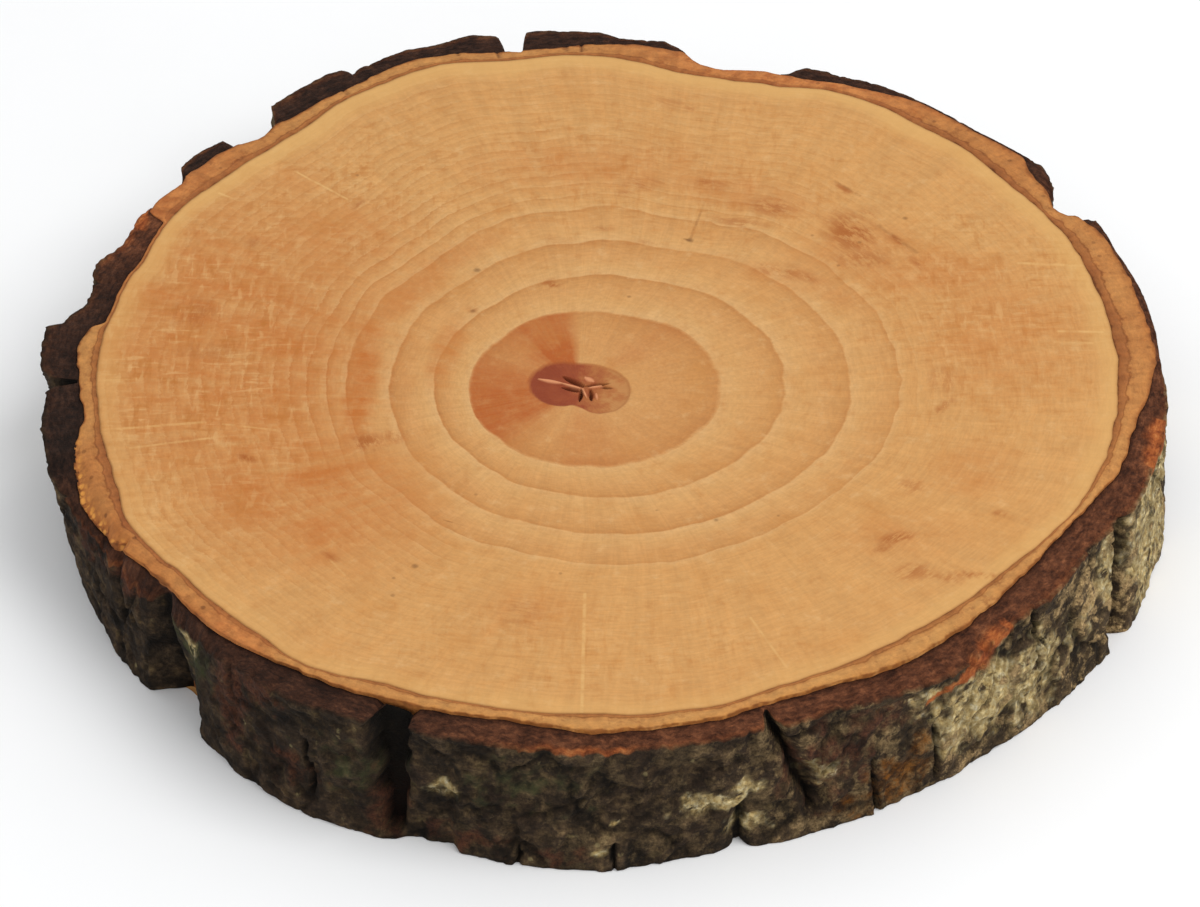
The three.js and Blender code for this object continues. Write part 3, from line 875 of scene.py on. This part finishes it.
class Painter:
    """Makes the nodes of one finish."""

    def __init__(self, name):
        self.material = bpy.data.materials.new(name)
        self.material.use_nodes = True
        self.tree = self.material.node_tree
        self.tree.nodes.clear()
        self.shader = self.node("BsdfPrincipled")
        self.node("OutputMaterial", self.shader.outputs["BSDF"])

    def fill(self, socket, value):
        """Links an output to a socket, or sets the socket to a plain value."""
        if isinstance(value, bpy.types.NodeSocket):
            self.tree.links.new(value, socket)
        else:
            socket.default_value = value

    def node(self, kind, *values, **settings):
        """A new node with its settings, and with its first inputs filled in order."""
        node = self.tree.nodes.new("ShaderNode" + kind)
        for name, setting in settings.items():
            setattr(node, name, setting)
        for socket, value in zip(node.inputs, values):
            self.fill(socket, value)
        return node

    def value(self, field):
        """A number that the mesh carries."""
        return self.node("Attribute", attribute_name=field).outputs["Fac"]

    def vector(self, field):
        """Three numbers that the mesh carries."""
        return self.node("Attribute", attribute_name=field).outputs["Vector"]

    def place(self):
        """The place on the object, in millimetres."""
        return self.stretch(self.node("TexCoord").outputs["Object"], (1 / MM, 1 / MM, 1 / MM))

    def stretch(self, vector, scale, shift=(0, 0, 0)):
        """A vector times a scale, plus a shift."""
        return self.node("VectorMath", vector, scale, shift, operation="MULTIPLY_ADD").outputs["Vector"]

    def level(self, vector, shift=(0, 0, 0)):
        """A vector's first two numbers, shifted."""
        return self.stretch(vector, (1, 1, 0), shift)

    def lift(self, number):
        """A vector that points up by a number."""
        return self.node("CombineXYZ", 0, 0, number).outputs["Vector"]

    def facing(self, vector):
        """The same direction as a vector, one long and level."""
        return self.node("VectorMath", self.level(vector), operation="NORMALIZE").outputs["Vector"]

    def distance(self, vector, other):
        return self.node("VectorMath", vector, other, operation="DISTANCE").outputs["Value"]

    def near_line(self, vector, start, end, half_width):
        """1 on the straight line from start to end, falling softly to 0 at its half width."""
        run = Vector(end) - Vector(start)
        from_start = self.level(vector, (-start[0], -start[1], 0))
        gain = (*(run / run.length_squared), 0)
        along = self.node("VectorMath", from_start, gain, operation="DOT_PRODUCT").outputs["Value"]
        share = self.node("Clamp", along).outputs["Result"]
        nearest = self.stretch(share, (*run, 0), (*start, 0))
        return self.step(self.distance(self.level(vector), nearest), half_width, half_width * 0.2)

    def noise(self, vector, size, detail=3.0, roughness=0.55):
        """Soft random lumps, size across, from 0 to 1."""
        node = self.node("TexNoise", vector)
        for name, value in (("Scale", 1 / size), ("Detail", detail), ("Roughness", roughness)):
            node.inputs[name].default_value = value
        return node.outputs["Fac"]

    def cells(self, vector, size):
        """Random cells, size across: the distance to the nearest one's seed."""
        node = self.node("TexVoronoi", vector)
        node.inputs["Scale"].default_value = 1 / size
        return node.outputs["Distance"]

    def sum(self, kind, first, *others):
        """Works along the numbers, joining each one to the result so far."""
        for other in others:
            first = self.node("Math", first, other, operation=kind).outputs["Value"]
        return first

    def times(self, *numbers):
        return self.sum("MULTIPLY", *numbers)

    def plus(self, *numbers):
        return self.sum("ADD", *numbers)

    def minus(self, *numbers):
        return self.sum("SUBTRACT", *numbers)

    def fraction(self, number):
        """What is left of a number without its whole part."""
        return self.node("Math", number, operation="FRACT").outputs["Value"]

    def step(self, value, low, high, to_low=0.0, to_high=1.0):
        """Moves a value from low..high to to_low..to_high along a smooth slope."""
        limits = (value, low, high, to_low, to_high)
        return self.node("MapRange", *limits, interpolation_type="SMOOTHSTEP").outputs["Result"]

    def ramp(self, value, stops):
        """A colour that runs through (place, code) stops."""
        node = self.node("ValToRGB", value)
        elements = node.color_ramp.elements
        while len(elements) < len(stops):
            elements.new(1.0)
        for element, (position, code) in zip(elements, stops):
            element.position = position
            element.color = paint(code)
        return node.outputs["Color"]

    def mix(self, share, under, over):
        """Lays one colour over another."""
        node = self.node("Mix", share, data_type="RGBA", clamp_factor=True)
        for name, value in (("A", under), ("B", over)):
            socket = next(s for s in node.inputs if s.name == name and s.type == "RGBA")
            self.fill(socket, paint(value) if isinstance(value, str) else value)
        return next(s for s in node.outputs if s.type == "RGBA")

    def brighten(self, colour, amount):
        """Multiplies a colour by a number near 1."""
        node = self.node("VectorMath", colour, operation="SCALE")
        self.fill(node.inputs["Scale"], amount)
        return node.outputs["Vector"]

    def put_on(self, piece, colour, roughness, shine):
        """Joins the colour and the roughness to the shader and puts the finish on a piece."""
        self.fill(self.shader.inputs["Base Color"], colour)
        self.fill(self.shader.inputs["Roughness"], roughness)
        self.shader.inputs["Specular IOR Level"].default_value = shine
        piece.data.materials.append(self.material)
        print(self.material.name, "has", len(self.tree.nodes), "nodes")

    def bump(self, height, distance):
        """Makes fine relief from a height, in millimetres, on the shader's normal."""
        node = self.node("Bump")
        self.fill(node.inputs["Height"], height)
        node.inputs["Distance"].default_value = distance * MM
        self.fill(self.shader.inputs["Normal"], node.outputs["Normal"])


# %% [markdown]
# ### Sawn wood
#
# A year of growth starts pale and ends dark, and then the next year starts pale at once. That
# saw-tooth is painted straight from the age that each point carries: its fraction runs from 0 to
# 1 within every year. Rays, saw marks, stains and the heart are laid over it one by one.

# %% The finish of the sawn wood
SPECKS = [  # x, y and radius of small knots and pores
    (-40.2, -71.2, 0.75), (23, -56.2, 0.5), (68.6, 51.6, 0.6), (-29.4, 31.7, 0.8), (19, 43.1, 0.8),
    (-9.8, -73.5, 0.4), (36.2, -54.8, 0.35), (-28, -47.8, 0.4), (47, 45, 0.4), (-58, 68.5, 0.45),
    (57.7, 42.3, 0.5), (-44.5, -80.5, 0.5), (-44.5, -75, 0.4), (10.5, -53, 0.3), (52.5, 33.5, 0.4),
    (-30, 16.5, 0.6), (5, 21.8, 0.5),
]
SCRATCHES = [  # pale scratches: from x, y to x, y, then half width and strength
    (-72.6, 70.1, -60, 59.1, 0.45, 0.5), (-89.7, 61.4, -84.9, 58.3, 0.5, 0.45),
    (-108.7, -25.9, -87.3, -23.2, 0.6, 0.4), (-102.8, -32.1, -82.4, -28, 0.55, 0.4),
    (-110.2, -8.5, -103.4, -8.1, 0.5, 0.3), (-83.3, -23.9, -71.9, -25.9, 0.5, 0.3),
    (93.5, 34.4, 109.3, 33.3, 0.7, 0.4), (100.6, 9.1, 110.2, 8.8, 0.6, 0.45),
    (99.4, 5.1, 107.6, 4.8, 0.5, 0.3), (29.5, -87.5, 36.5, -103, 0.4, 0.35),
    (-4.7, -80, -5.2, -116.2, 0.55, 0.45), (-58, -69.2, -54.7, -74, 0.4, 0.3),
]
FINE_CRACKS = [  # thin dark ones: the same numbers
    (19, 43.1, 22.5, 57.5, 0.5, 0.35), (17.8, 43.6, 19.4, 42.6, 0.5, 0.6),
    (-34.6, -56.2, -30.5, -58, 0.35, 0.4), (62.5, 48.5, 70.5, 38.5, 0.9, 0.3),
    (53, 66, 58.5, 60.5, 0.7, 0.3),
]


def finish_wood(piece):
    p = Painter("cut_wood")
    plan, spoke, reach = p.vector("plan"), p.vector("spoke"), p.value("reach")
    # Years: pale early wood, darker late wood, then pale again at once
    jagged = p.noise(p.stretch(plan, (0.35, 0.9, 0)), 1.0, 3.0, 0.7)
    jag_size = p.step(p.value("age"), 4.0, 9.0, 0.05, 0.7)
    ragged_age = p.plus(p.value("age"), p.times(p.minus(jagged, 0.5), jag_size))
    year = p.ramp(p.fraction(ragged_age), [
        (0.0, "D3A56D"), (0.25, "CF9D62"), (0.6, "CA9359"), (0.86, "C0874D"), (0.965, "B57840"),
        (1.0, "D2A168"),
    ])
    colour = p.mix(p.value("ring_strength"), "CD975A", year)
    # Short strokes along the years, and rays across them
    strokes = p.noise(p.stretch(spoke, (20, 20, 0), p.lift(p.times(reach, 1.5))), 1.0, 2.0)
    colour = p.brighten(colour, p.step(strokes, 0.32, 0.68, 0.955, 1.04))
    rays = p.noise(p.stretch(spoke, (110, 110, 0), p.lift(p.times(reach, 0.08))), 1.0, 2.0)
    colour = p.brighten(colour, p.step(rays, 0.32, 0.68, 0.97, 1.025))
    broad_rays = p.noise(p.stretch(spoke, (24, 24, 0), p.lift(p.times(reach, 0.03))), 1.0, 2.0)
    colour = p.brighten(colour, p.step(broad_rays, 0.3, 0.7, 0.965, 1.03))
    # Warm patches with ragged borders
    clouds = p.noise(plan, 15.0, 4.0, 0.6)
    small_clouds = p.noise(plan, 4.5, 4.0, 0.65)
    ragged = p.times(p.step(broad_rays, 0.25, 0.7, 0.6, 1.1), p.step(clouds, 0.3, 0.65, 0.6, 1.15))
    warm_share = p.times(p.value("warmth"), ragged, p.step(small_clouds, 0.3, 0.6, 0.7, 1.05))
    colour = p.mix(p.step(small_clouds, 0.46, 0.24, 0, 0.36), colour, "E0B67E")
    colour = p.mix(warm_share, colour, "BA6C30")
    first_year = p.times(p.value("heart"), p.step(p.value("age"), 1.02, 0.97))
    first_year = p.times(first_year, p.step(broad_rays, 0.3, 0.7, 0.86, 1.04))
    first_year = p.times(first_year, p.step(small_clouds, 0.3, 0.65, 0.75, 1.0))
    colour = p.mix(first_year, colour, "AE5B27")
    colour = p.mix(p.step(clouds, 0.48, 0.75, 0, 0.35), colour, "C0803F")
    colour = p.mix(p.step(small_clouds, 0.52, 0.78, 0, 0.42), colour, "B6763A")
    # Saw marks both ways: short brown strokes in patches, pale ones between them
    marks = p.times(p.value("saw_marks"), p.step(p.noise(plan, 9.0, 3.0), 0.36, 0.62, 0.35, 1.35))
    across = p.noise(p.stretch(plan, (0.15, 0.6, 0)), 1.0, 2.0, 0.55)
    along = p.noise(p.stretch(plan, (0.62, 0.15, 0), (31, 7, 0)), 1.0, 2.0, 0.55)
    for strokes_one_way in (across, along):
        brown = p.times(p.step(strokes_one_way, 0.53, 0.68), marks)
        colour = p.mix(p.times(brown, 0.4), colour, "B36F30")
        pale = p.times(p.step(strokes_one_way, 0.46, 0.32), marks)
        colour = p.mix(p.times(pale, 0.24), colour, "E0B57A")
    hatch = p.times(p.plus(across, along), marks)
    speckle = p.noise(plan, 0.9, 3.0, 0.7)
    colour = p.brighten(colour, p.step(speckle, 0.3, 0.7, 0.965, 1.035))
    # Sapwood is a little paler, stains are browner
    colour = p.mix(p.times(p.value("sapwood"), 0.85), colour, "DAAB68")
    streaks = p.noise(p.stretch(spoke, (13, 13, 0), p.lift(p.times(reach, 0.5))), 1.0, 4.0, 0.75)
    streaks = p.times(p.step(streaks, 0.4, 0.58, 0.15, 1.15), p.value("stain"))
    colour = p.mix(streaks, colour, "A35A25")
    broken = p.step(p.noise(plan, 3.0, 3.0, 0.7), 0.36, 0.6, 0.25, 1.0)
    for lines, line_colour in ((SCRATCHES, "E3B876"), (FINE_CRACKS, "7A4A20")):
        for x0, y0, x1, y1, half_width, strength in lines:
            line = p.times(p.near_line(plan, (x0, y0), (x1, y1), half_width), broken, strength)
            colour = p.mix(line, colour, line_colour)
    for x, y, radius in SPECKS:
        darkness = 0.15 + 0.45 * radius  # larger knots are darker too
        speck = p.step(p.distance(plan, (x, y, 0)), radius * 1.5, radius * 0.3, 0, darkness)
        colour = p.mix(speck, colour, "553216")
    # The heart
    plan_x = p.node("SeparateXYZ", plan).outputs["X"]
    pith_share = p.plus(p.step(plan_x, -15, 5), p.step(small_clouds, 0.3, 0.7, -0.2, 0.2))
    pith_colour = p.ramp(pith_share, [
        (0.05, "8A3F24"), (0.4, "964A2A"), (0.6, "A35E34"), (0.8, "AE6D3C"), (1, "B87F4A"),
    ])
    pith_colour = p.brighten(pith_colour, p.step(rays, 0.3, 0.7, 0.93, 1.07))
    colour = p.mix(p.value("pith"), colour, pith_colour)
    edge = p.times(p.value("pith"), p.minus(1.0, p.value("pith")))
    colour = p.mix(p.times(edge, 1.4), colour, "A0592C")
    # Painted shade in the pith's splits
    colour = p.mix(p.times(p.value("split_shade"), 0.72), colour, "5A2B14")
    colour = p.mix(p.times(p.value("splinter"), 0.9), colour, "DA9468")
    # The thin dark line where the wood ends
    colour = p.mix(p.times(p.value("rim"), 0.6), colour, "8E5A2C")
    p.bump(p.plus(p.times(strokes, 0.5), p.times(hatch, 0.2), p.times(speckle, 0.4)), 0.1)
    p.put_on(piece, colour, p.step(speckle, 0.3, 0.7, 0.7, 0.85), 0.2)


finish_wood(wood)

# %% [markdown]
# ### Inner bark
#
# The bands follow the layer, so they are painted by how far across it a point lies, with fibres
# running round the trunk. One number on the mesh says how pale the bast is on each heading.

# %% The finish of the inner bark


def finish_inner_bark(piece):
    p = Painter("inner_bark")
    place, layer_share, paleness = p.place(), p.value("layer"), p.value("tan")
    round_trunk = p.stretch(place, (0.4, 0.4, 0.5), p.lift(p.times(p.value("from_middle"), 1.1)))
    fibres = p.noise(round_trunk, 1.0, 4.0, 0.7)
    wander = p.noise(place, 4.0, 3.0)
    band = p.plus(p.value("band"), p.step(wander, 0.2, 0.8, -0.1, 0.1))
    pale = p.ramp(band, [
        (0.0, "74431D"), (0.07, "99602F"), (0.32, "AF723D"), (0.38, "925C2B"), (0.44, "BD854A"),
        (0.6, "C99556"), (0.9, "C58F50"), (1.0, "85501F"),
    ])
    dark = p.ramp(band, [
        (0.0, "5E3116"), (0.07, "8A4E28"), (0.32, "9C5C30"), (0.38, "774120"), (0.44, "AB6C37"),
        (0.8, "B27039"), (0.95, "A05C2A"), (1.0, "6A3618"),
    ])
    colour = p.mix(paleness, dark, pale)
    outer_share = p.times(p.value("orange"), p.step(band, 0.2, 0.6, 0.25, 0.9))
    colour = p.mix(outer_share, colour, p.ramp(wander, [(0.35, "A65A2C"), (0.6, "CA8046")]))
    colour = p.brighten(colour, p.step(fibres, 0.32, 0.68, 0.9, 1.07))
    blots = p.noise(place, 2.6, 4.0, 0.7)
    colour = p.mix(p.step(blots, 0.54, 0.72, 0, 0.5), colour, "8A5027")
    across_layer = p.lift(p.times(layer_share, 1.6))
    dashes = p.noise(p.stretch(p.facing(place), (62, 62, 0), across_layer), 1.0, 2.0)
    colour = p.brighten(colour, p.step(dashes, 0.35, 0.65, 0.92, 1.06))
    pores = p.step(p.cells(place, 4.2), 0.16, 0.09, 0, 0.6)
    colour = p.mix(p.times(pores, p.minus(1.0, paleness)), colour, "5B3118")
    grit = p.noise(place, 0.9, 3.0, 0.7)
    colour = p.brighten(colour, p.step(grit, 0.3, 0.7, 0.92, 1.06))
    crumb = p.cells(place, 1.5)
    loose = p.times(p.value("crumbly"), p.step(layer_share, 0.68, 0.9))
    colour = p.mix(p.times(loose, p.step(crumb, 0.56, 0.24, 0, 0.95)), colour, "DD9748")
    colour = p.mix(p.times(loose, p.step(crumb, 0.66, 0.86, 0, 0.7)), colour, "4A2411")
    colour = p.mix(p.times(p.value("split"), 0.75), colour, "5A3018")
    p.bump(p.plus(p.times(fibres, 0.7), p.times(grit, 0.6)), 0.3)
    p.put_on(piece, colour, p.step(grit, 0.3, 0.7, 0.75, 0.92), 0.2)


finish_inner_bark(inner_bark)

# %% [markdown]
# ### Outer bark
#
# Cork weathers to grey-brown and black outside, but where it is sawn or freshly broken it is
# reddish. Lichen is a pale crust with small dark pits, so it is both a colour and a relief.

# %% The finish of the outer bark


def finish_outer_bark(piece):
    p = Painter("outer_bark")
    place = p.place()
    mottle = p.noise(place, 5.0, 5.0, 0.66)
    broad = p.noise(place, 21.0, 3.0)
    grit = p.noise(place, 0.7, 4.0, 0.7)
    scales = p.noise(p.stretch(place, (1, 1, 1.5)), 2.2, 4.0, 0.65)
    # Weathered cork
    weathered = p.ramp(mottle, [
        (0.3, "16110D"), (0.42, "2B2219"), (0.52, "3F3225"), (0.62, "594731"), (0.76, "836F4C"),
    ])
    weathered = p.mix(p.step(broad, 0.42, 0.62, 0, 0.5), weathered, "38291F")
    dust = p.step(p.noise(place, 4.5, 6.0, 0.68), 0.47, 0.58, 0.08, 1.0)
    dust_colour = p.ramp(grit, [(0.3, "92744B"), (0.7, "C6A877")])
    weathered = p.mix(p.times(dust, p.value("dusty")), weathered, dust_colour)
    weathered = p.brighten(weathered, p.step(scales, 0.32, 0.7, 0.66, 1.4))
    weathered = p.brighten(weathered, p.step(p.value("plate"), 0, 1, 0.72, 1.25))
    weathered = p.brighten(weathered, p.step(grit, 0.3, 0.7, 0.75, 1.25))
    flecks = p.step(p.cells(place, 5.2), 0.15, 0.09, 0, 0.5)
    weathered = p.mix(p.times(flecks, p.step(mottle, 0.5, 0.6)), weathered, "98895F")
    reddish = p.times(p.value("reddish"), p.step(scales, 0.3, 0.6, 0.35, 0.85))
    weathered = p.mix(reddish, weathered, p.ramp(grit, [(0.35, "3D2118"), (0.65, "6A402C")]))
    moss = p.times(p.value("moss"), p.step(mottle, 0.35, 0.6, 0.15, 0.6))
    weathered = p.mix(moss, weathered, "41482A")
    rusty = p.ramp(scales, [(0.32, "33200F"), (0.48, "5E3812"), (0.6, "8A5318"), (0.72, "4A3418")])
    rust = p.times(p.value("rust"), p.step(mottle, 0.38, 0.56, 0.2, 0.85))
    weathered = p.mix(rust, weathered, rusty)
    # Lichen with its dark pits
    crust_grain = p.noise(place, 1.6, 5.0, 0.75)
    crust = p.ramp(crust_grain, [(0.3, "987C4A"), (0.44, "C6AA70"), (0.56, "DDC792"), (0.7, "F0E4C2")])
    crust = p.brighten(crust, p.step(p.cells(place, 1.3), 0.15, 0.6, 1.1, 0.72))
    pits = p.times(p.step(p.cells(place, 4.2), 0.36, 0.2), p.step(scales, 0.42, 0.5))
    patchy = p.step(p.noise(place, 3.4, 5.0, 0.7), 0.38, 0.52, 0.25, 1.0)
    lichen = p.times(p.value("lichen"), patchy, p.minus(1.0, pits))
    weathered = p.mix(lichen, weathered, crust)
    # Sawn cork, and cork that has just been torn
    round_trunk = p.stretch(place, (0.4, 0.4, 0.6), p.lift(p.times(p.value("from_middle"), 1.0)))
    fibres = p.noise(round_trunk, 1.0, 4.0, 0.7)
    fibres = p.plus(p.times(fibres, 0.6), p.times(mottle, 0.4))
    dull = p.ramp(fibres, [(0.38, "130E0B"), (0.5, "221813"), (0.62, "33241D")])
    warm = p.ramp(fibres, [(0.38, "3C2013"), (0.48, "5D3521"), (0.56, "75452C"), (0.64, "925A39")])
    cork = p.mix(p.value("cork_warmth"), dull, warm)
    cork = p.brighten(cork, p.step(grit, 0.3, 0.7, 0.8, 1.2))
    cork = p.mix(p.times(p.value("shade_line"), 0.6), cork, "20110B")
    colour = p.mix(p.value("sawn"), weathered, cork)
    fresh = p.ramp(fibres, [(0.36, "6A3018"), (0.46, "964E28"), (0.55, "B66735"), (0.64, "CC864C")])
    colour = p.mix(p.value("torn"), colour, fresh)
    # Painted shade: the cracks and the gaps between plates are painted near black
    colour = p.mix(p.times(p.value("crack_shade"), 0.93), colour, "080604")
    crust_relief = p.minus(p.times(lichen, 0.3), p.times(pits, p.value("lichen"), 0.5))
    p.bump(p.plus(p.times(scales, 1.1), p.times(grit, 0.6), crust_relief), 0.8)
    p.put_on(piece, colour, p.step(grit, 0.3, 0.7, 0.85, 0.98), 0.15)


finish_outer_bark(outer_bark)

# %% [markdown]
# ## Joining the pieces to the frame
#
# All three layers ride on the slice's only body, and together they stand for its one solid.

# %% Bodies
for piece, slot in ((wood, "cut_wood"), (inner_bark, "inner_bark"), (outer_bark, "outer_bark")):
    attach(piece, "root")
    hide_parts("wood_slice")
    print(piece.name, "->", slot)

# %% [markdown]
# ## Floor, light and camera
#
# The slice lies on a plain pale floor under a big soft lamp on the right, with a pale sky to fill
# the shadows. The camera looks down at about forty degrees from a metre away, with a long lens, so
# the slice keeps its true proportions.

# %% The floor
bpy.ops.mesh.primitive_plane_add(size=6, location=(0, 0, -0.0002))
floor = bpy.context.object
floor.name = "floor"
floor_paint = Painter("floor")
floor_grain = floor_paint.noise(floor_paint.place(), 60.0, 3.0)
floor_colour = floor_paint.ramp(floor_grain, [(0.3, "FAFAFA"), (0.7, "FCFCFC")])
floor_paint.put_on(floor, floor_colour, 0.9, 0.5)

# %% The light
world = bpy.data.worlds.new("pale_sky")
world.use_nodes = True
world.node_tree.nodes["Background"].inputs["Color"].default_value = (0.98, 0.99, 1.0, 1.0)
world.node_tree.nodes["Background"].inputs["Strength"].default_value = 0.76
bpy.context.scene.world = world


def soft_lamp(name, place, size, power):
    """A square lamp that points at the slice."""
    lamp = bpy.data.lights.new(name, "AREA")
    lamp.size = size
    lamp.energy = power
    holder = bpy.data.objects.new(name, lamp)
    holder.location = place
    holder.rotation_euler = (Vector((0, 0, 0.01)) - Vector(place)).to_track_quat("-Z", "Y").to_euler()
    bpy.context.scene.collection.objects.link(holder)


soft_lamp("key", (0.9, -0.45, 1.5), 1.2, 15)

# %% The camera
VIEW_HEIGHT = math.radians(39.2)  # how far above the horizon the camera stands
VIEW_DISTANCE = 1.0
AIM = Vector((-0.00154, -0.0134, 0.0152))
LENS = 135.7  # millimetres, on a sensor 36 mm wide
camera_data = bpy.data.cameras.new("camera")
camera_data.lens = LENS
camera_data.sensor_width = 36
camera_data.clip_start = 0.05
camera = bpy.data.objects.new("camera", camera_data)
backward = Vector((0, -math.cos(VIEW_HEIGHT), math.sin(VIEW_HEIGHT)))
camera.location = AIM + VIEW_DISTANCE * backward
camera.rotation_euler = (-backward).to_track_quat("-Z", "Y").to_euler()
bpy.context.scene.collection.objects.link(camera)
bpy.context.scene.camera = camera
bpy.context.scene.view_settings.view_transform = "Standard"
